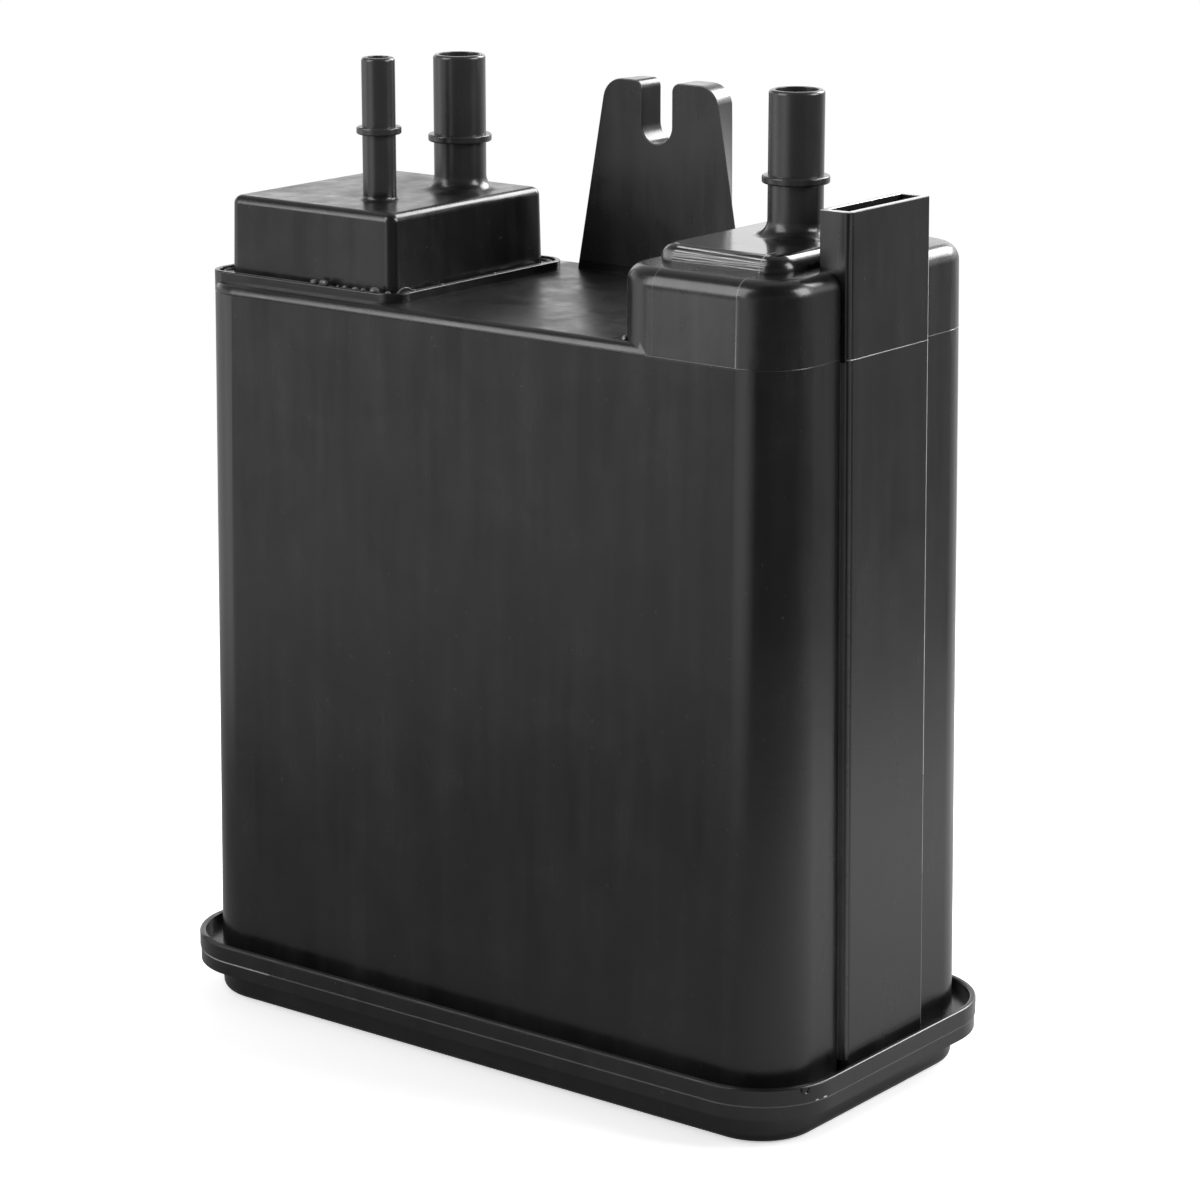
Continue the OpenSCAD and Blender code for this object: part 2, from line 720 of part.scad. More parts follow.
// A compression spring of height h with closed ends: a round wire swept along a helix.
module spring(h) {
    steps = 16;
    sides = 6;
    n = steps * spring_turns;
    wire_r = spring_wire / 2 / cos(180 / sides);
    ring_r = spring_d / 2 - spring_wire / 2;
    points = [
        for (i = [0 : n], j = [0 : sides - 1])
            let (a = 360 * i / steps, b = 360 * (j + 0.5) / sides)
            let (r = ring_r + wire_r * sin(b), z = spring_rise(i / steps, h) + wire_r * cos(b))
            [r * cos(a), r * sin(a), z]
    ];
    walls = [
        for (i = [0 : n - 1], j = [0 : sides - 1])
            let (k = (j + 1) % sides)
            [i * sides + j, i * sides + k, (i + 1) * sides + k, (i + 1) * sides + j]
    ];
    first = [for (j = [sides - 1 : -1 : 0]) j];
    last = [for (j = [0 : sides - 1]) n * sides + j];
    polyhedron(points, concat(walls, [first], [last]), convexity = 10);
}

// A spring standing on the cover's floor and pressing on a retainer grid.
module seated_spring(place) {
    color(spring_steel)
        translate([place.x, place.y, wall])
        spring(grid_z - wall);
}

canister_body();
port_cap();
bottom_cover();
main_carbon_bed();
vent_carbon_bed();
main_upper_felt();
vent_upper_felt();
main_lower_felt();
vent_lower_felt();
main_retainer_grid();
vent_retainer_grid();
seated_spring(main_spring_places[0]);  // main_spring_1
seated_spring(main_spring_places[1]);  // main_spring_2
seated_spring(main_spring_places[2]);  // main_spring_3
seated_spring(main_spring_places[3]);  // main_spring_4
seated_spring(vent_spring_places[0]);  // vent_spring_1
seated_spring(vent_spring_places[1]);  // vent_spring_2
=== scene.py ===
"""Charcoal canister: the finished look of a moulded fuel-vapour canister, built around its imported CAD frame."""

import math

import bpy
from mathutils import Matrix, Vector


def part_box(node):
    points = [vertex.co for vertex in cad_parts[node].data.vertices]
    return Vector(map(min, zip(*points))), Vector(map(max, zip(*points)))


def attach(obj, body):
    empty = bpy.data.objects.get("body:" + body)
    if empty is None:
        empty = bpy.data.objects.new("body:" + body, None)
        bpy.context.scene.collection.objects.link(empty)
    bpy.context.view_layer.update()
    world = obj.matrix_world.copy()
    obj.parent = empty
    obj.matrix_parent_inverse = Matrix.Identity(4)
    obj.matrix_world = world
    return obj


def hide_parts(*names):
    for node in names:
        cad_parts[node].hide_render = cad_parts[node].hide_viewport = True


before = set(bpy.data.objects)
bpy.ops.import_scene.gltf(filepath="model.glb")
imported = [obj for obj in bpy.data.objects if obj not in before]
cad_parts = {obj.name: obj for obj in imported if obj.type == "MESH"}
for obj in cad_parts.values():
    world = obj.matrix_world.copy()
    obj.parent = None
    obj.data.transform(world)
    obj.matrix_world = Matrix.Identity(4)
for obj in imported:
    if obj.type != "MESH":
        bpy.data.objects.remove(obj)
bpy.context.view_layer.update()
scene = bpy.context.scene

# ---- Canister body ----
# One injection moulding in black glass-filled nylon: drafted shell, raised vent block with its pad and hose port,
# clip socket, mounting ear and the weld rim for the cap. Ejected upwards, so flow marks run up its sides, and fine
# ridges stand where the parts of the mould met.

MM = 0.001
corner_axis = (92.8, 33.9)
skin_reach = 14.9
parting_z = 222.7
block_seams = (64.4, 92.8)
block_front_y, block_top_z = -43.5, 246.9
pad_seams = (61.4, 91.0)
pad_low, pad_high = (54.2, -36.2, 246.8), (98.2, 36.2, 251.6)
pad_front_y = -28.9
seam_reach, seam_half = 32, 0.3
ear_low, ear_high = (-32.0, 38.9, 228.0), (33.6, 49.0, 286.0)
socket_low, socket_high = (100.4, -21.4, 262.8), (111.3, 18.8, 264.0)
vent_tip_low, vent_tip_high = (68.0, -9.0, 291.6), (87.0, 9.0, 293.0)
strip_edges = (-20.2, 17.6)
strip_low, strip_high = (109.6, -21.2, 19.4), (120, 18.6, 262.6)
tool_marks_low, tool_marks_high = (pad_seams[0], -36.6, 247.2), (pad_seams[1] + 1.5, -31.9, 251.7)
tool_mark_runs = ((0.012, 0.62), (-0.02, 0.95))
tool_mark_depth = 0.14
curl_middle, curl_bearing, curl_reach, curl_thickness = (116.05, -44.25, 18.5), -24, 1.3, 0.32


def only(piece):
    """Makes a piece the one selected and active object."""
    bpy.ops.object.select_all(action="DESELECT")
    piece.select_set(True)
    bpy.context.view_layer.objects.active = piece


def moulded_copy(node_name, name):
    """A copy of a CAD node as one closed skin with whole flat faces, ready for finer edges."""
    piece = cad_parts[node_name].copy()
    piece.data = piece.data.copy()
    piece.name = piece.data.name = name
    piece.parent = None
    for key in list(piece.keys()):
        del piece[key]
    scene.collection.objects.link(piece)
    only(piece)
    bpy.ops.mesh.customdata_custom_splitnormals_clear()
    bpy.ops.object.mode_set(mode="EDIT")
    bpy.ops.mesh.select_all(action="SELECT")
    bpy.ops.mesh.remove_doubles(threshold=0.002 * MM)
    bpy.ops.mesh.dissolve_limited(angle_limit=math.radians(0.2))
    bpy.ops.object.mode_set(mode="OBJECT")
    return piece


def pick(piece, kind, test):
    """Leaves a piece in edit mode with only the points, edges or faces selected that pass a test."""
    only(piece)
    bpy.ops.object.mode_set(mode="EDIT")
    bpy.ops.mesh.select_mode(type=kind)
    bpy.ops.mesh.select_all(action="DESELECT")
    bpy.ops.object.mode_set(mode="OBJECT")
    mesh = piece.data
    for part in {"VERT": mesh.vertices, "EDGE": mesh.edges, "FACE": mesh.polygons}[kind]:
        part.select = test(part)
    bpy.ops.object.mode_set(mode="EDIT")


def raise_line(piece, at, across, near, width=0.3, height=0.1):
    """A mould ridge: three cuts side by side through the faces that lie near it, with the middle one raised."""
    for shift in (-width / 2, width / 2, 0):
        points = piece.data.vertices
        pick(piece, "FACE", lambda face: all(near(*(points[i].co / MM)) for i in face.vertices))
        cut = [(a + shift * c) * MM for a, c in zip(at, across)]
        bpy.ops.mesh.bisect(plane_co=cut, plane_no=across, threshold=0.001 * MM)
        bpy.ops.object.mode_set(mode="OBJECT")
    axis = across.index(1)
    pick(piece, "VERT", lambda point: abs(point.co[axis] / MM - at[axis]) < 0.01 and near(*(point.co / MM)))
    bpy.ops.transform.shrink_fatten(value=height * MM)
    bpy.ops.object.mode_set(mode="OBJECT")


def inside(low, high):
    """A test of whether a point lies in a box."""
    return lambda x, y, z: all(a < c < b for a, c, b in zip(low, (x, y, z), high))


def ease_edges(piece, low, high, size, sharpness=40):
    """Rounds the sharp edges whose middle lies inside a box."""
    boxed = inside(low, high)
    only(piece)
    bpy.ops.object.mode_set(mode="EDIT")
    bpy.ops.mesh.select_mode(type="EDGE")
    bpy.ops.mesh.select_all(action="DESELECT")
    bpy.ops.mesh.edges_select_sharp(sharpness=math.radians(sharpness))
    bpy.ops.object.mode_set(mode="OBJECT")
    mesh = piece.data
    sharp = [edge.select for edge in mesh.edges]

    def chosen(edge):
        middle = (mesh.vertices[edge.vertices[0]].co + mesh.vertices[edge.vertices[1]].co) / (2 * MM)
        return sharp[edge.index] and boxed(*middle)

    pick(piece, "EDGE", chosen)
    bpy.ops.mesh.bevel(offset=size * MM, segments=2, affect="EDGES", clamp_overlap=False)
    bpy.ops.object.mode_set(mode="OBJECT")


def smooth_faces(piece, angle=32):
    """Smooth shading on the rounded faces, with the large flat faces kept flat."""
    only(piece)
    bpy.ops.object.shade_smooth_by_angle(angle=math.radians(angle))
    flat = piece.modifiers.new("flat_faces", "WEIGHTED_NORMAL")
    flat.keep_sharp = True
    flat.weight = 100
    bpy.ops.object.modifier_apply(modifier=flat.name)


def node(tree, kind, place, **values):
    """Adds a shader node, with its settings and plain input values."""
    made = tree.nodes.new(kind)
    made.location = place
    for key, value in values.items():
        if key in made.inputs:
            made.inputs[key].default_value = value
        else:
            setattr(made, key, value)
    return made


def group_with(name, inputs, outputs):
    """An empty shader node group with named sockets, and its input and output nodes."""
    group = bpy.data.node_groups.new(name, "ShaderNodeTree")
    for title, kind, default in inputs:
        group.interface.new_socket(title, in_out="INPUT", socket_type=kind).default_value = default
    for title, kind in outputs:
        group.interface.new_socket(title, in_out="OUTPUT", socket_type=kind)
    return group, node(group, "NodeGroupInput", (-1200, 0)), node(group, "NodeGroupOutput", (900, 0))


def moulding_group():
    """A moulded skin: mottled colour, streaked roughness, pale specks and a faint grain."""
    number, colour = "NodeSocketFloat", "NodeSocketColor"
    group, given, result = group_with(
        "moulding_finish",
        (
            ("Dark", colour, (0.0055, 0.0055, 0.006, 1)),
            ("Light", colour, (0.011, 0.011, 0.0118, 1)),
            ("Roughness Low", number, 0.17),
            ("Roughness High", number, 0.3),
            ("Streak Stretch", number, 0.1),
            ("Specks", number, 0.12),
            ("Grain Depth", number, 0.000012),
            ("Ripple Depth", number, 0.00007),
        ),
        (("Color", colour), ("Roughness", number), ("Height", number), ("Cloud", number)),
    )
    link = group.links.new
    place = node(group, "ShaderNodeTexCoord", (-1200, 400))
    stretch = node(group, "ShaderNodeCombineXYZ", (-1000, 200), X=1.0, Y=1.0)
    link(given.outputs["Streak Stretch"], stretch.inputs["Z"])
    along = node(group, "ShaderNodeVectorMath", (-800, 300), operation="MULTIPLY")
    link(place.outputs["Object"], along.inputs[0])
    link(stretch.outputs[0], along.inputs[1])
    streak = node(group, "ShaderNodeTexNoise", (-600, 300), Scale=160, Detail=4, Roughness=0.6)
    link(along.outputs[0], streak.inputs["Vector"])
    mottle = node(group, "ShaderNodeTexNoise", (-600, 50), Scale=38, Detail=5, Roughness=0.62, Distortion=0.6)
    link(place.outputs["Object"], mottle.inputs["Vector"])
    grain = node(group, "ShaderNodeTexNoise", (-600, -200), Scale=1500, Detail=2, Roughness=0.5)
    link(place.outputs["Object"], grain.inputs["Vector"])
    blend = node(group, "ShaderNodeMix", (-350, 200), data_type="FLOAT", Factor=0.5)
    link(streak.outputs["Fac"], blend.inputs[2])
    link(mottle.outputs["Fac"], blend.inputs[3])
    spread = node(group, "ShaderNodeMapRange", (-150, 200))
    spread.inputs["From Min"].default_value = 0.33
    spread.inputs["From Max"].default_value = 0.67
    link(blend.outputs[0], spread.inputs["Value"])
    tint = node(group, "ShaderNodeMix", (100, 350), data_type="RGBA")
    link(spread.outputs[0], tint.inputs[0])
    link(given.outputs["Dark"], tint.inputs[6])
    link(given.outputs["Light"], tint.inputs[7])
    dust = node(group, "ShaderNodeTexNoise", (-600, 600), Scale=620, Detail=1, Roughness=0.4)
    link(place.outputs["Object"], dust.inputs["Vector"])
    sparse = node(group, "ShaderNodeMapRange", (-350, 600))
    sparse.inputs["From Min"].default_value = 0.76
    sparse.inputs["From Max"].default_value = 0.8
    link(dust.outputs["Fac"], sparse.inputs["Value"])
    shown = node(group, "ShaderNodeMath", (-150, 600), operation="MULTIPLY")
    link(sparse.outputs[0], shown.inputs[0])
    link(given.outputs["Specks"], shown.inputs[1])
    specked = node(group, "ShaderNodeMix", (350, 400), data_type="RGBA")
    specked.inputs[7].default_value = (0.16, 0.155, 0.15, 1)
    link(shown.outputs[0], specked.inputs[0])
    link(tint.outputs[2], specked.inputs[6])
    gloss = node(group, "ShaderNodeMix", (100, 100), data_type="FLOAT")
    link(spread.outputs[0], gloss.inputs[0])
    link(given.outputs["Roughness Low"], gloss.inputs[2])
    link(given.outputs["Roughness High"], gloss.inputs[3])
    fine = node(group, "ShaderNodeMath", (100, -150), operation="MULTIPLY")
    link(grain.outputs["Fac"], fine.inputs[0])
    link(given.outputs["Grain Depth"], fine.inputs[1])
    wavy = node(group, "ShaderNodeMath", (100, -300), operation="MULTIPLY")
    link(blend.outputs[0], wavy.inputs[0])
    link(given.outputs["Ripple Depth"], wavy.inputs[1])
    height = node(group, "ShaderNodeMath", (350, -200), operation="ADD")
    link(fine.outputs[0], height.inputs[0])
    link(wavy.outputs[0], height.inputs[1])
    link(specked.outputs[2], result.inputs["Color"])
    link(gloss.outputs[0], result.inputs["Roughness"])
    link(height.outputs[0], result.inputs["Height"])
    link(spread.outputs[0], result.inputs["Cloud"])
    return group


def patch_group():
    """A mask that is 1 inside a box of the piece's own coordinates and fades out at the box's edge."""
    number, vector = "NodeSocketFloat", "NodeSocketVector"
    group, given, result = group_with(
        "mould_patch",
        (("Low", vector, (0, 0, 0)), ("High", vector, (1, 1, 1)), ("Soft", number, 0.0005)),
        (("Mask", number),),
    )
    link = group.links.new
    place = node(group, "ShaderNodeTexCoord", (-1200, 300))
    over = node(group, "ShaderNodeVectorMath", (-900, 200), operation="SUBTRACT")
    link(place.outputs["Object"], over.inputs[0])
    link(given.outputs["Low"], over.inputs[1])
    under = node(group, "ShaderNodeVectorMath", (-900, -100), operation="SUBTRACT")
    link(given.outputs["High"], under.inputs[0])
    link(place.outputs["Object"], under.inputs[1])
    inside = node(group, "ShaderNodeVectorMath", (-700, 50), operation="MINIMUM")
    link(over.outputs[0], inside.inputs[0])
    link(under.outputs[0], inside.inputs[1])
    split = node(group, "ShaderNodeSeparateXYZ", (-500, 50))
    link(inside.outputs[0], split.inputs[0])
    flat = node(group, "ShaderNodeMath", (-300, 100), operation="MINIMUM")
    link(split.outputs["X"], flat.inputs[0])
    link(split.outputs["Y"], flat.inputs[1])
    least = node(group, "ShaderNodeMath", (-100, 50), operation="MINIMUM")
    link(flat.outputs[0], least.inputs[0])
    link(split.outputs["Z"], least.inputs[1])
    mask = node(group, "ShaderNodeMath", (100, 50), operation="DIVIDE", use_clamp=True)
    link(least.outputs[0], mask.inputs[0])
    link(given.outputs["Soft"], mask.inputs[1])
    link(mask.outputs[0], result.inputs["Mask"])
    return group


moulding_finish = moulding_group()
mould_patch = patch_group()
least_tint_and_painted_light = 0.7


def patch(tree, label, low, high, soft, place):
    """Places the patch mask in a material, with its box in millimetres."""
    made = node(tree, "ShaderNodeGroup", place, node_tree=mould_patch, label=label)
    made.inputs["Low"].default_value = [c * MM for c in low]
    made.inputs["High"].default_value = [c * MM for c in high]
    made.inputs["Soft"].default_value = soft * MM
    return made.outputs["Mask"]


def nylon(name, patches=(), specular=0.5, **values):
    """A black moulded nylon with its own values of the moulding finish.

    Each patch is a label, the two corners of a box, its soft edge, a factor on the roughness and a paler colour.
    The paler colour is clouded by the finish, and is mostly a painted highlight or painted light on a face in
    shade.
    """
    made = bpy.data.materials.new(name)
    made.use_nodes = True
    tree = made.node_tree
    shader = tree.nodes["Principled BSDF"]
    shader.inputs["Specular IOR Level"].default_value = specular
    skin = node(tree, "ShaderNodeGroup", (-900, 100), node_tree=moulding_finish)
    for key, value in values.items():
        skin.inputs[key].default_value = value
    roughness, colour = skin.outputs["Roughness"], skin.outputs["Color"]
    for step, (label, low, high, soft, change, tint_and_painted_light) in enumerate(patches):
        mask = patch(tree, label, low, high, soft, (-900, 400 + 150 * step))
        scaled = node(tree, "ShaderNodeMath", (-700 + 150 * step, 400), operation="MULTIPLY")
        scaled.inputs[1].default_value = change
        tree.links.new(skin.outputs["Roughness"], scaled.inputs[0])
        mixed = node(tree, "ShaderNodeMix", (-600 + 150 * step, 250), data_type="FLOAT")
        tree.links.new(mask, mixed.inputs[0])
        tree.links.new(roughness, mixed.inputs[2])
        tree.links.new(scaled.outputs[0], mixed.inputs[3])
        roughness = mixed.outputs[0]
        # Paler colour in the box, clouded by the finish: mostly painted highlights and painted light on shaded
        # faces.
        if tint_and_painted_light:
            clouded_tint_and_painted_light = node(tree, "ShaderNodeMath", (-800 + 150 * step, 700), operation="MULTIPLY_ADD")
            clouded_tint_and_painted_light.inputs[1].default_value = 1 - least_tint_and_painted_light
            clouded_tint_and_painted_light.inputs[2].default_value = least_tint_and_painted_light
            tree.links.new(skin.outputs["Cloud"], clouded_tint_and_painted_light.inputs[0])
            cloudy = node(tree, "ShaderNodeMath", (-700 + 150 * step, 600), operation="MULTIPLY")
            tree.links.new(mask, cloudy.inputs[0])
            tree.links.new(clouded_tint_and_painted_light.outputs[0], cloudy.inputs[1])
            paler = node(tree, "ShaderNodeMix", (-600 + 150 * step, 500), data_type="RGBA")
            paler.inputs[7].default_value = tint_and_painted_light + (1,)
            tree.links.new(cloudy.outputs[0], paler.inputs[0])
            tree.links.new(colour, paler.inputs[6])
            colour = paler.outputs[2]
    bump = node(tree, "ShaderNodeBump", (-250, -150), Strength=1.0, Distance=1.0)
    tree.links.new(colour, shader.inputs["Base Color"])
    tree.links.new(roughness, shader.inputs["Roughness"])
    tree.links.new(skin.outputs["Height"], bump.inputs["Height"])
    tree.links.new(bump.outputs["Normal"], shader.inputs["Normal"])
    return made


def on_skin(x, y, z):
    """Whether a point lies on the outer skin of the shell, not on its deck or inside."""
    return math.hypot(max(abs(x) - corner_axis[0], 0), max(abs(y) - corner_axis[1], 0)) > skin_reach


def roughen(piece, ragged, grain):
    """Pushes a surface in and out by a cloud pattern."""
    only(piece)
    bpy.ops.object.transform_apply(location=True, rotation=True, scale=True)
    clouds = bpy.data.textures.new(piece.name + "_clouds", "CLOUDS")
    clouds.noise_scale = grain * MM
    push = piece.modifiers.new("ragged", "DISPLACE")
    push.texture = clouds
    push.strength = ragged * MM
    bpy.ops.object.modifier_apply(modifier=push.name)


def join_to(piece, others):
    """Makes loose flash one piece with the part that it was squeezed from."""
    bpy.ops.object.select_all(action="DESELECT")
    for other in others:
        other.select_set(True)
    piece.select_set(True)
    bpy.context.view_layer.objects.active = piece
    bpy.ops.object.join()


def half_ring(name, middle, reach, thickness, segments, bearing, up):
    """The half of a thin upright ring that lies on one side of its middle, as a thread of flash."""
    bpy.ops.object.select_all(action="DESELECT")
    bpy.ops.mesh.primitive_torus_add(
        major_radius=reach * MM, minor_radius=thickness * MM, major_segments=segments, minor_segments=10,
        location=[c * MM for c in middle], rotation=(0, math.pi / 2, math.radians(bearing)),
    )
    ring = bpy.context.object
    ring.name = name
    bpy.ops.object.transform_apply(location=False, rotation=True, scale=False)
    bpy.ops.object.mode_set(mode="EDIT")
    bpy.ops.mesh.bisect(plane_co=[c * MM for c in middle], plane_no=(0, 0, -up), use_fill=True, clear_outer=True)
    bpy.ops.object.mode_set(mode="OBJECT")
    return ring


body = moulded_copy("canister_body", "moulded_body")
ease_edges(body, ear_low, ear_high, 0.35)
ease_edges(body, socket_low, socket_high, 0.15)
ease_edges(body, vent_tip_low, vent_tip_high, 0.3)
raise_line(body, (0, 0, parting_z), (0, 0, 1), on_skin)
for seam_x in block_seams:
    block_front = inside(
        (seam_x - seam_reach, -60, parting_z + 0.1), (seam_x + seam_reach, block_front_y, block_top_z),
    )
    raise_line(body, (seam_x, 0, 0), (1, 0, 0), block_front, height=0.035)
for edge_y in strip_edges:
    raise_line(body, (0, edge_y, 0), (0, 1, 0), inside(strip_low, strip_high), width=0.5, height=0.16)
for seam_x in pad_seams:
    pad_front = inside(
        (seam_x - seam_reach, -60, block_top_z - 0.15), (seam_x + seam_reach, pad_front_y, pad_high[2] - 0.01),
    )
    raise_line(body, (seam_x, 0, 0), (1, 0, 0), pad_front, height=0.04)
curl = half_ring("flange_curl", curl_middle, curl_reach, curl_thickness, 32, curl_bearing, up=-1)
roughen(curl, 0.1, 0.8)
join_to(body, [curl])
smooth_faces(body)
body_nylon = nylon(
    "body_nylon",
    patches=(
        ("block sides", (47, -50, parting_z), (109, 50, 244), 1, 1.1, None),
        ("flange rim", (-119, -60, 18.3), (100, -55.2, 19.6), 0.3, 2.6, None),
        # Paler block front: a painted highlight, standing in for a haze of reflected light.
        ("block front", (62, -50, 222), (94, -46, 242), 7, 2.2, (0.28, 0.28, 0.284)),
        # Paler strip side: painted light on a face that lies in shade.
        ("strip side", (107, -21.6, 19), (113.8, -20.8, 222), 0.25, 1.5, (0.12, 0.12, 0.121)),
        ("pad top", pad_low[:2] + (250.6,), pad_high[:2] + (252,), 0.5, 0.4, None),
        ("deck", (-40, -50, 225), (48, 50, 226), 0.3, 1.5, None),
        ("ear front", ear_low, (33.6, 39.6, 286), 0.4, 1.4, (0.022, 0.022, 0.023)),
        # Paler vent port and socket side: painted sheen on the tube and painted light on the socket's side face.
        ("vent port", (69, -9.6, 253), (86, 9.6, 294), 1.5, 1.1, (0.03, 0.03, 0.031)),
        ("socket side", (100, -22, 247), (108, -19.5, 264), 2.5, 1.5, (0.08, 0.08, 0.081)),
        # Pale lines up the strip's back edge, palest at the top, and along its front edge: painted highlights on
        # the edges.
        ("strip back line, high", (108, 17.7, 95), (115, 19, 248), 0.25, 0.9, (0.55, 0.55, 0.55)),
        ("strip back line, middle", (108, 17.7, 65), (115, 19, 95), 0.25, 0.9, (0.3, 0.3, 0.3)),
        ("strip back line, low", (108, 17.7, 19), (115, 19, 65), 0.25, 0.9, (0.12, 0.12, 0.12)),
        ("strip front line", (109.8, -20.7, 19), (115, -19.8, 263), 0.2, 1.2, (0.07, 0.07, 0.07)),
        # Pale parting line, block seams and pad seam: painted highlights on the mould ridges.
        (
            "parting line on the strip",
            (109.8, -21.6, parting_z - 0.2), (112, 19, parting_z + 0.2), 0.15, 1.2, (0.35, 0.35, 0.35),
        ),
        (
            "parting line behind the strip",
            (100, 18.6, parting_z - 0.2), (109.8, 45, parting_z + 0.2), 0.15, 1.2, (0.12, 0.12, 0.12),
        ),
        (
            "left block seam",
            (block_seams[0] - seam_half, -50, parting_z), (block_seams[0] + seam_half, -40, block_top_z),
            0.15, 1.2, (0.05, 0.05, 0.05),
        ),
        (
            "right block seam",
            (block_seams[1] - seam_half, -50, parting_z), (block_seams[1] + seam_half, -40, block_top_z),
            0.15, 1.2, (0.12, 0.12, 0.12),
        ),
        (
            "right pad seam",
            (pad_seams[1] - seam_half, -37, 246.9), (pad_seams[1] + seam_half, -28, 251.7),
            0.15, 1.2, (0.3, 0.3, 0.3),
        ),
        # Paler pad slope and socket mouth: painted highlights and painted reflection.
        ("pad slope", (57, -36.5, 247.2), (93, -32, 250.4), 0.8, 1.0, (0.2, 0.2, 0.203)),
        ("socket mouth", (100.4, -21.4, 263.2), (111.3, 18.8, 263.9), 0.1, 0.8, (0.5, 0.5, 0.5)),
    ),
)
tree = body_nylon.node_tree
skin_height = next(n for n in tree.nodes if n.type == "GROUP" and n.node_tree == moulding_finish).outputs["Height"]
tool_marks = patch(tree, "tool marks", tool_marks_low, tool_marks_high, 0.6, (-900, -600))
place = node(tree, "ShaderNodeTexCoord", (-1500, -400))
marks = skin_height
for step, (slope, spacing) in enumerate(tool_mark_runs):
    turned = node(tree, "ShaderNodeMapping", (-1300, -400 - 300 * step))
    turned.inputs["Rotation"].default_value = (0, slope, 0)
    tree.links.new(place.outputs["Object"], turned.inputs["Vector"])
    lines = node(tree, "ShaderNodeTexWave", (-1100, -400 - 300 * step), Distortion=0.25, Detail=1)
    lines.bands_direction = "Z"
    lines.inputs["Scale"].default_value = 2 * math.pi / (20 * spacing * MM)
    tree.links.new(turned.outputs[0], lines.inputs["Vector"])
    thin = node(tree, "ShaderNodeMath", (-900, -400 - 300 * step), operation="POWER")
    thin.inputs[1].default_value = 5.0
    tree.links.new(lines.outputs["Fac"], thin.inputs[0])
    depth = node(tree, "ShaderNodeMath", (-700, -400 - 300 * step), operation="MULTIPLY")
    tree.links.new(thin.outputs[0], depth.inputs[0])
    tree.links.new(tool_marks, depth.inputs[1])
    added = node(tree, "ShaderNodeMath", (-500, -400 - 300 * step), operation="MULTIPLY_ADD")
    added.inputs[1].default_value = tool_mark_depth * MM
    tree.links.new(depth.outputs[0], added.inputs[0])
    tree.links.new(marks, added.inputs[2])
    marks = added.outputs[0]
bump = next(n for n in tree.nodes if n.type == "BUMP")
tree.links.new(marks, bump.inputs["Height"])
shader = tree.nodes["Principled BSDF"]
# Pale tool marks on the pad front: painted highlights along the lines, over their real bump.
painted_tool_mark_highlights = node(tree, "ShaderNodeMix", (100, -500), data_type="RGBA")
painted_tool_mark_highlights.inputs[7].default_value = (0.6, 0.6, 0.605, 1)
tree.links.new(depth.outputs[0], painted_tool_mark_highlights.inputs[0])
tree.links.new(shader.inputs["Base Color"].links[0].from_socket, painted_tool_mark_highlights.inputs[6])
tree.links.new(painted_tool_mark_highlights.outputs[2], shader.inputs["Base Color"])
body.data.materials.clear()
body.data.materials.append(body_nylon)
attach(body, "root")
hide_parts("canister_body")

# ---- Upper and lower felts ----
# Four pads of needled polyester felt, die-cut to each chamber and laid in loose above and below the beds. They keep
# carbon dust out of the ports and the springs.


def dress(names, finish):
    """Puts a finish on CAD nodes whose shape stays as it is."""
    for name in names:
        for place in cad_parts[name].material_slots:
            place.material = finish


felt = bpy.data.materials.new("needled_felt")
felt.use_nodes = True
tree = felt.node_tree
shader = tree.nodes["Principled BSDF"]
shader.inputs["Specular IOR Level"].default_value = 0.15
shader.inputs["Sheen Weight"].default_value = 0.3
place = node(tree, "ShaderNodeTexCoord", (-1200, 0))
fibres = node(tree, "ShaderNodeTexNoise", (-900, 100), Scale=900, Detail=6, Roughness=0.7, Distortion=2.5)
tree.links.new(place.outputs["Object"], fibres.inputs["Vector"])
clumps = node(tree, "ShaderNodeTexNoise", (-900, -150), Scale=90, Detail=3)
tree.links.new(place.outputs["Object"], clumps.inputs["Vector"])
lie = node(tree, "ShaderNodeMix", (-650, 0), data_type="FLOAT", Factor=0.4)
tree.links.new(fibres.outputs["Fac"], lie.inputs[2])
tree.links.new(clumps.outputs["Fac"], lie.inputs[3])
wool = node(tree, "ShaderNodeValToRGB", (-400, 100))
wool.color_ramp.elements[0].position, wool.color_ramp.elements[1].position = 0.3, 0.7
wool.color_ramp.elements[0].color = (0.30, 0.29, 0.26, 1)
wool.color_ramp.elements[1].color = (0.62, 0.60, 0.55, 1)
tree.links.new(lie.outputs[0], wool.inputs[0])
tree.links.new(wool.outputs["Color"], shader.inputs["Base Color"])
matt = node(tree, "ShaderNodeMapRange", (-400, -150))
matt.inputs["To Min"].default_value, matt.inputs["To Max"].default_value = 0.85, 1.0
tree.links.new(lie.outputs[0], matt.inputs["Value"])
tree.links.new(matt.outputs[0], shader.inputs["Roughness"])
bump = node(tree, "ShaderNodeBump", (-250, -350), Strength=1.0, Distance=0.0003)
tree.links.new(lie.outputs[0], bump.inputs["Height"])
tree.links.new(bump.outputs["Normal"], shader.inputs["Normal"])
dress(("main_upper_felt", "vent_upper_felt", "main_lower_felt", "vent_lower_felt"), felt)

# ---- Carbon beds ----
# Extruded pellets of activated carbon, about two millimetres across. They are poured into each chamber through the
# open bottom and vibrated down into one packed bed.

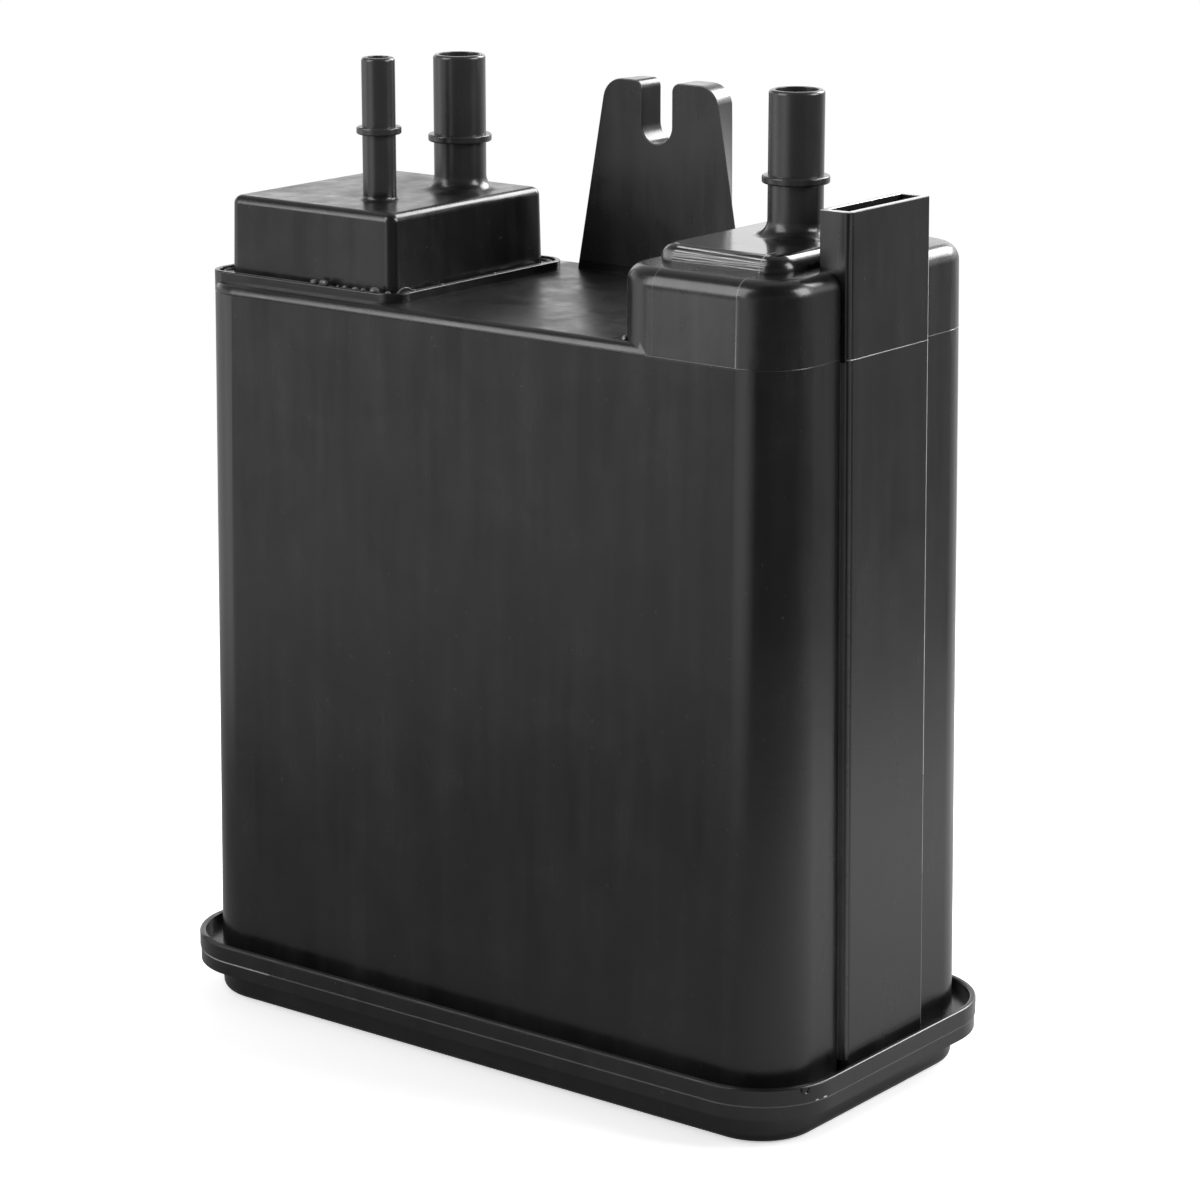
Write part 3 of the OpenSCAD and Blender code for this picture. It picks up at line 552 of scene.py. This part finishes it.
carbon = bpy.data.materials.new("carbon_pellets")
carbon.use_nodes = True
tree = carbon.node_tree
shader = tree.nodes["Principled BSDF"]
shader.inputs["Specular IOR Level"].default_value = 0.3
place = node(tree, "ShaderNodeTexCoord", (-1200, 0))
pellets = node(tree, "ShaderNodeTexVoronoi", (-900, 100), Scale=420, Randomness=0.85)
tree.links.new(place.outputs["Object"], pellets.inputs["Vector"])
shades = node(tree, "ShaderNodeSeparateColor", (-650, 250))
tree.links.new(pellets.outputs["Color"], shades.inputs[0])
soot = node(tree, "ShaderNodeMix", (-400, 250), data_type="RGBA")
soot.inputs[6].default_value = (0.008, 0.008, 0.009, 1)
soot.inputs[7].default_value = (0.04, 0.04, 0.042, 1)
tree.links.new(shades.outputs[0], soot.inputs[0])
tree.links.new(soot.outputs[2], shader.inputs["Base Color"])
dull = node(tree, "ShaderNodeMapRange", (-400, 0))
dull.inputs["To Min"].default_value, dull.inputs["To Max"].default_value = 0.55, 0.9
tree.links.new(shades.outputs[1], dull.inputs["Value"])
tree.links.new(dull.outputs[0], shader.inputs["Roughness"])
bump = node(tree, "ShaderNodeBump", (-250, -250), Strength=1.0, Distance=0.0012, invert=True)
tree.links.new(pellets.outputs["Distance"], bump.inputs["Height"])
tree.links.new(bump.outputs["Normal"], shader.inputs["Normal"])
dress(("main_carbon_bed", "vent_carbon_bed"), carbon)

# ---- Retainer grids ----
# Perforated plates moulded in the same black nylon with a duller finish. They slide in each chamber and press the
# felts and the beds upward.

grid_nylon = nylon("grid_nylon", **{"Roughness Low": 0.3, "Roughness High": 0.5, "Streak Stretch": 1.0})
dress(("main_retainer_grid", "vent_retainer_grid"), grid_nylon)

# ---- Springs ----
# Cold-wound compression springs in drawn steel wire. They sit loose between the cover's seats and the retainer
# grids, and take up the room as the beds settle.

wire = bpy.data.materials.new("spring_wire")
wire.use_nodes = True
tree = wire.node_tree
shader = tree.nodes["Principled BSDF"]
shader.inputs["Metallic"].default_value = 1.0
place = node(tree, "ShaderNodeTexCoord", (-1200, 0))
drawn = node(tree, "ShaderNodeTexNoise", (-900, 100), Scale=700, Detail=4, Roughness=0.6)
tree.links.new(place.outputs["Object"], drawn.inputs["Vector"])
steel = node(tree, "ShaderNodeMix", (-500, 200), data_type="RGBA")
steel.inputs[6].default_value = (0.36, 0.35, 0.34, 1)
steel.inputs[7].default_value = (0.58, 0.57, 0.55, 1)
tree.links.new(drawn.outputs["Fac"], steel.inputs[0])
tree.links.new(steel.outputs[2], shader.inputs["Base Color"])
sheen = node(tree, "ShaderNodeMapRange", (-500, -50))
sheen.inputs["To Min"].default_value, sheen.inputs["To Max"].default_value = 0.25, 0.45
tree.links.new(drawn.outputs["Fac"], sheen.inputs["Value"])
tree.links.new(sheen.outputs[0], shader.inputs["Roughness"])
bump = node(tree, "ShaderNodeBump", (-250, -250), Strength=1.0, Distance=0.00002)
tree.links.new(drawn.outputs["Fac"], bump.inputs["Height"])
tree.links.new(bump.outputs["Normal"], shader.inputs["Normal"])
dress([f"main_spring_{i}" for i in (1, 2, 3, 4)] + [f"vent_spring_{i}" for i in (1, 2)], wire)

# ---- Bottom cover ----
# A shallow tray of the same nylon, hot-plate welded to the body's flange. A thread of squeezed-out nylon and a few
# flecks show along the seam.

cover_low, cover_high = (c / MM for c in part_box("bottom_cover"))
seam_z = 14.15
seam_corner = 25.2
seam_inset = 0.1
seam_flecks = (
    ((117.7, -37.2, 14.5), (0.25, 1.0, 0.28)),
    ((117.1, -40.3, 14.4), (0.25, 0.8, 0.25)),
    ((117.75, -18.6, 14.5), (0.22, 0.5, 0.24)),
)
longest_step = 1.2


def flash_thread(name, low, high, corner, height, radius, ragged, grain):
    """A ragged thread of squeezed-out nylon along a rounded rectangle, at one height."""
    bpy.ops.object.select_all(action="DESELECT")
    middle = [(a + b) / 2 * MM for a, b in zip(low, high)]
    bpy.ops.mesh.primitive_plane_add(size=1, location=(middle[0], middle[1], height * MM))
    thread = bpy.context.object
    thread.name = name
    bpy.ops.object.mode_set(mode="EDIT")
    bpy.ops.transform.resize(value=((high[0] - low[0]) * MM, (high[1] - low[1]) * MM, 1))
    bpy.ops.mesh.bevel(offset=corner * MM, segments=10, affect="VERTICES", clamp_overlap=False)
    bpy.ops.mesh.select_all(action="SELECT")
    bpy.ops.mesh.delete(type="ONLY_FACE")
    bpy.ops.object.mode_set(mode="OBJECT")

    def too_long(edge):
        a, b = (thread.data.vertices[i].co for i in edge.vertices)
        return (a - b).length > longest_step * MM

    for halving in range(8):
        pick(thread, "EDGE", too_long)
        bpy.ops.mesh.subdivide(number_cuts=1)
        bpy.ops.object.mode_set(mode="OBJECT")
    bpy.ops.object.convert(target="CURVE")
    thread.data.bevel_depth = radius * MM
    thread.data.bevel_resolution = 2
    bpy.ops.object.convert(target="MESH")
    roughen(thread, ragged, grain)
    return thread


def flash_lump(name, middle, size, fineness, ragged, grain):
    """A rounded lump of nylon, stretched to its size and roughened."""
    bpy.ops.object.select_all(action="DESELECT")
    bpy.ops.mesh.primitive_ico_sphere_add(subdivisions=fineness, radius=1, location=[c * MM for c in middle])
    lump = bpy.context.object
    lump.name = name
    lump.scale = [c * MM for c in size]
    roughen(lump, ragged, grain)
    return lump


cover = moulded_copy("bottom_cover", "welded_cover")
seam_flash = [flash_thread(
    "seam_thread",
    [c + seam_inset for c in cover_low], [c - seam_inset for c in cover_high],
    seam_corner, seam_z, radius=0.2, ragged=0.26, grain=2.5,
)]
for number, (middle, size) in enumerate(seam_flecks):
    seam_flash.append(flash_lump(f"seam_fleck_{number}", middle, size, fineness=3, ragged=0.1, grain=0.6))
join_to(cover, seam_flash)
smooth_faces(cover)
cover.data.materials.clear()
cover.data.materials.append(nylon("cover_nylon", patches=(
    # Paler seam thread and flecks, palest at the left end: painted highlights on the real flash.
    ("seam", (-119, -60, seam_z - 0.5), (119, 60, seam_z + 0.5), 0.2, 1.8, (0.1, 0.1, 0.1)),
    ("seam, left end", (-119, -60, seam_z - 0.5), (-75, -20, seam_z + 0.5), 0.2, 1.0, (0.4, 0.4, 0.4)),
    ("flecks", (116.5, -41.5, seam_z), (119, -17.5, seam_z + 1), 0.1, 0.8, (0.5, 0.5, 0.5)),
)))
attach(cover, "root")
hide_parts("bottom_cover")

# ---- Port cap ----
# A box with the purge and tank ports, moulded in the same nylon and welded into the body's rim. The weld squeezed
# nylon up between the cap's foot and the rim, and left lumps and a loose strand there.

cap_middle, cap_half = (-70.3, -3.4), (32.5, 36.0)
foot_low, foot_high = (-120, -60, 227.0), (-30, 60, 227.5)
port_tips_low, port_tips_high = (-120, -60, 289.0), (-30, 60, 294.0)
channel_out, channel_corner, channel_z = 3.0, 6.4, 227.25
lumps = (
    ((-65.9, -42.2, 228.6), (1.3, 0.9, 0.9)),
    ((-62.0, -42.2, 228.7), (1.8, 0.9, 0.9)),
    ((-56.5, -42.4, 228.2), (0.5, 0.5, 0.5)),
    ((-53.6, -42.4, 228.3), (0.8, 0.6, 0.6)),
    ((-49.8, -42.3, 228.2), (1.1, 0.7, 0.7)),
    ((-46.6, -42.4, 228.3), (0.6, 0.6, 0.6)),
    ((-42.2, -42.3, 228.5), (1.5, 1.2, 1.1)),
    ((-37.2, -42.2, 228.2), (0.9, 0.7, 0.7)),
    ((-34.9, -33.2, 228.0), (0.6, 0.9, 0.6)),
    ((-34.9, -20.5, 227.9), (0.6, 1.2, 0.5)),
    ((-34.9, 4.0, 227.9), (0.6, 0.8, 0.5)),
)
strand_middle, strand_reach, strand_height, strand_thickness = (-34.9, -37.4, 227.6), 3.2, 1.9, 0.32

cap = moulded_copy("port_cap", "welded_cap")
ease_edges(cap, foot_low, foot_high, 0.3)
ease_edges(cap, port_tips_low, port_tips_high, 0.3)
channel_half = [h + channel_out for h in cap_half]
cap_flash = [flash_thread(
    "cap_flash",
    [m - h for m, h in zip(cap_middle, channel_half)], [m + h for m, h in zip(cap_middle, channel_half)],
    channel_corner, channel_z, radius=0.62, ragged=0.8, grain=3.0,
)]
for number, (middle, size) in enumerate(lumps):
    cap_flash.append(flash_lump(f"flash_lump_{number}", middle, size, fineness=4, ragged=0.5, grain=1.2))
strand = half_ring("flash_strand", strand_middle, strand_reach, strand_thickness, 40, 0, up=1)
strand.scale = (1, 1, strand_height / strand_reach)
roughen(strand, 0.2, 1.5)
join_to(cap, cap_flash + [strand])
smooth_faces(cap)
cap.data.materials.clear()
cap.data.materials.append(nylon("cap_nylon", patches=(
    ("cap top", (-104, -41, 250.2), (-36, 34, 252), 0.5, 1.35, None),
    # Paler ports: painted sheen on the tubes.
    ("ports", (-70, -28, 252.5), (-44, 24, 295), 1.5, 1.1, (0.036, 0.036, 0.037)),
    # Paler cap front: a painted reflection, a lighter zone across the face.
    ("cap front", (-72, -41, 228), (-36, -38, 251), 10, 1.2, (0.05, 0.05, 0.051)),
    # Paler weld flash: painted highlights on the real lumps and thread.
    ("front flash", (-107, -44.8, 227.2), (-32, -40.6, 231), 0.3, 0.6, (0.12, 0.12, 0.12)),
    ("right flash", (-36.4, -44.8, 227.2), (-32, 38, 231), 0.3, 0.6, (0.12, 0.12, 0.12)),
)))
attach(cap, "root")
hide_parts("port_cap")

# ---- Studio ----
# A pale table top in a white room that is dark behind the camera, with a tall soft box to the left, a small one at
# the right, one at the rear and a bright wall at the back. The camera sees white floor and wall, and only
# reflections see the room's sides.

bpy.ops.object.select_all(action="DESELECT")
bpy.ops.mesh.primitive_circle_add(vertices=96, radius=4.0, fill_type="NGON", location=(0, 0, 0))
floor = bpy.context.object
floor.name = "studio_floor"
floor_paint = bpy.data.materials.new("pale_floor")
floor_paint.use_nodes = True
tree = floor_paint.node_tree
link = tree.links.new
shader = tree.nodes["Principled BSDF"]
shader.inputs["Roughness"].default_value = 0.8
shader.inputs["Specular IOR Level"].default_value = 0.2
shader.inputs["Emission Color"].default_value = (1, 1, 1, 1)
rays = node(tree, "ShaderNodeLightPath", (-900, 500))
glow = node(tree, "ShaderNodeMath", (-600, 500), operation="MULTIPLY")
glow.inputs[1].default_value = 0.45
link(rays.outputs["Is Camera Ray"], glow.inputs[0])
link(glow.outputs[0], shader.inputs["Emission Strength"])
# Reflections see the floor darker towards the canister's front left and lighter to its back right: a painted
# shadow, as if cast by a light at the back right.
place = node(tree, "ShaderNodeTexCoord", (-1300, 0))
across = node(tree, "ShaderNodeVectorMath", (-1100, 100), operation="DOT_PRODUCT")
across.inputs[1].default_value = (0.8, 0.6, 0)
link(place.outputs["Object"], across.inputs[0])
painted_floor_shadow = node(tree, "ShaderNodeMapRange", (-900, 100))
painted_floor_shadow.inputs["From Min"].default_value = -0.28
painted_floor_shadow.inputs["From Max"].default_value = 0.28
painted_floor_shadow.inputs["To Min"].default_value = 0.2
painted_floor_shadow.inputs["To Max"].default_value = 0.56
link(across.outputs["Value"], painted_floor_shadow.inputs["Value"])
paint = node(tree, "ShaderNodeMix", (-600, 200), data_type="FLOAT")
paint.inputs[3].default_value = 0.9
link(rays.outputs["Is Camera Ray"], paint.inputs[0])
link(painted_floor_shadow.outputs[0], paint.inputs[2])
link(paint.outputs[0], shader.inputs["Base Color"])
reach = node(tree, "ShaderNodeVectorMath", (-1100, -200), operation="LENGTH")
link(place.outputs["Object"], reach.inputs[0])
edge = node(tree, "ShaderNodeMapRange", (-900, -200), interpolation_type="SMOOTHSTEP")
edge.inputs["From Min"].default_value = 0.3
edge.inputs["From Max"].default_value = 0.7
link(reach.outputs["Value"], edge.inputs["Value"])
clear = node(tree, "ShaderNodeBsdfTransparent", (-100, -200))
both = node(tree, "ShaderNodeMixShader", (200, 100))
link(edge.outputs[0], both.inputs[0])
link(shader.outputs[0], both.inputs[1])
link(clear.outputs[0], both.inputs[2])
link(both.outputs[0], tree.nodes["Material Output"].inputs["Surface"])
floor.data.materials.append(floor_paint)

room = bpy.data.worlds.new("white_room")
scene.world = room
room.use_nodes = True
tree = room.node_tree
link = tree.links.new
walls = tree.nodes["Background"]
brightest = 3.0
walls.inputs["Strength"].default_value = brightest
place = node(tree, "ShaderNodeTexCoord", (-1400, 0))
split = node(tree, "ShaderNodeSeparateXYZ", (-1200, 0))
link(place.outputs["Generated"], split.inputs[0])
front = node(tree, "ShaderNodeMath", (-1000, 100), operation="MULTIPLY")
front.inputs[1].default_value = -1.0
link(split.outputs["Y"], front.inputs[0])
bearing = node(tree, "ShaderNodeMath", (-800, 100), operation="ARCTAN2")
link(split.outputs["X"], bearing.inputs[0])
link(front.outputs[0], bearing.inputs[1])
turn = node(tree, "ShaderNodeMapRange", (-600, 100))
turn.inputs["From Min"].default_value = -math.pi
turn.inputs["From Max"].default_value = math.pi
link(bearing.outputs[0], turn.inputs["Value"])
low_walls = (
    (-180, 0.8), (-140, 0.55), (-100, 0.6), (-75, 0.9), (-62, 1.6), (-53, 1.3), (-45, 0.65), (-30, 0.62),
    (-19, 1.4), (-5, 1.1), (12, 0.14), (94, 0.16), (125, 0.3), (145, 0.33), (165, 0.65), (180, 0.8),
)
high_walls = (
    (-180, 1.8), (-115, 1.6), (-80, 0.9), (-60, 1.2), (-45, 0.8), (-20, 0.8), (5, 0.2), (84, 0.2), (98, 0.4),
    (140, 0.6), (155, 1.7), (180, 1.8),
)
shades = []
for step, wall in enumerate((low_walls, high_walls)):
    ramp = node(tree, "ShaderNodeValToRGB", (-400, 100 + 300 * step))
    stops = ramp.color_ramp.elements
    for index, (degrees, value) in enumerate(wall):
        at = (degrees + 180) / 360
        stop = stops[index] if index < 2 else stops.new(at)
        stop.position = at
        stop.color = [value / brightest] * 3 + [1]
    link(turn.outputs[0], ramp.inputs[0])
    shades.append(ramp.outputs["Color"])
raised = node(tree, "ShaderNodeMapRange", (-600, -450), interpolation_type="SMOOTHSTEP")
raised.inputs["From Min"].default_value = 0.0
raised.inputs["From Max"].default_value = 0.1
link(split.outputs["Z"], raised.inputs["Value"])
wall_mix = node(tree, "ShaderNodeMix", (-250, 0), data_type="RGBA")
link(raised.outputs[0], wall_mix.inputs[0])
link(shades[0], wall_mix.inputs[6])
link(shades[1], wall_mix.inputs[7])
ceiling = node(tree, "ShaderNodeMapRange", (-600, -200), interpolation_type="SMOOTHSTEP")
ceiling.inputs["From Min"].default_value = 0.24
ceiling.inputs["From Max"].default_value = 0.42
ceiling.inputs["To Min"].default_value = 1.0
ceiling.inputs["To Max"].default_value = 0.3
link(split.outputs["Z"], ceiling.inputs["Value"])
shade = node(tree, "ShaderNodeVectorMath", (-100, 100), operation="SCALE")
link(wall_mix.outputs[2], shade.inputs[0])
link(ceiling.outputs[0], shade.inputs["Scale"])
link(shade.outputs[0], walls.inputs["Color"])
rays = node(tree, "ShaderNodeLightPath", (-100, 400))
white = node(tree, "ShaderNodeBackground", (100, -150), Strength=1.0)
white.inputs["Color"].default_value = (1, 1, 1, 1)
both = node(tree, "ShaderNodeMixShader", (300, 100))
link(rays.outputs["Is Camera Ray"], both.inputs[0])
link(walls.outputs[0], both.inputs[1])
link(white.outputs[0], both.inputs[2])
link(both.outputs[0], tree.nodes["World Output"].inputs["Surface"])


def soft_box(name, azimuth, elevation, distance, width, height, power):
    """A rectangular soft light that faces the middle of the canister, at a bearing from the front."""
    light = bpy.data.lights.new(name, "AREA")
    light.shape = "RECTANGLE"
    light.size, light.size_y = width, height
    light.energy = power
    lamp = bpy.data.objects.new(name, light)
    scene.collection.objects.link(lamp)
    a, e = math.radians(azimuth), math.radians(elevation)
    away = (math.sin(a) * math.cos(e), -math.cos(a) * math.cos(e), math.sin(e))
    lamp.location = [distance * c for c in away[:2]] + [distance * away[2] + 0.2]
    lamp.rotation_euler = (math.radians(90 - elevation), 0, a)


soft_box("left_soft_box", azimuth=-30, elevation=29, distance=1.5, width=0.9, height=1.3, power=19)
soft_box("right_soft_box", azimuth=116, elevation=27, distance=1.5, width=0.8, height=0.8, power=20)
soft_box("rear_soft_box", azimuth=171, elevation=32, distance=1.5, width=0.85, height=0.7, power=24)

# ---- Camera ----
# A long lens at the photograph's viewing angle, a little above the canister and to its front right. Its place and
# its angles were found by matching the canister's edges.

camera_place = (0.69526, -0.88769, 0.42676)
camera_dip, camera_bearing = 14.596, 37.733
eye = bpy.data.cameras.new("photo_camera")
eye.lens = 116.35
eye.sensor_width = 36
camera = bpy.data.objects.new("photo_camera", eye)
camera.location = camera_place
camera.rotation_euler = (math.radians(90 - camera_dip), 0, math.radians(camera_bearing))
scene.collection.objects.link(camera)
scene.camera = camera
scene.view_settings.view_transform = "Standard"
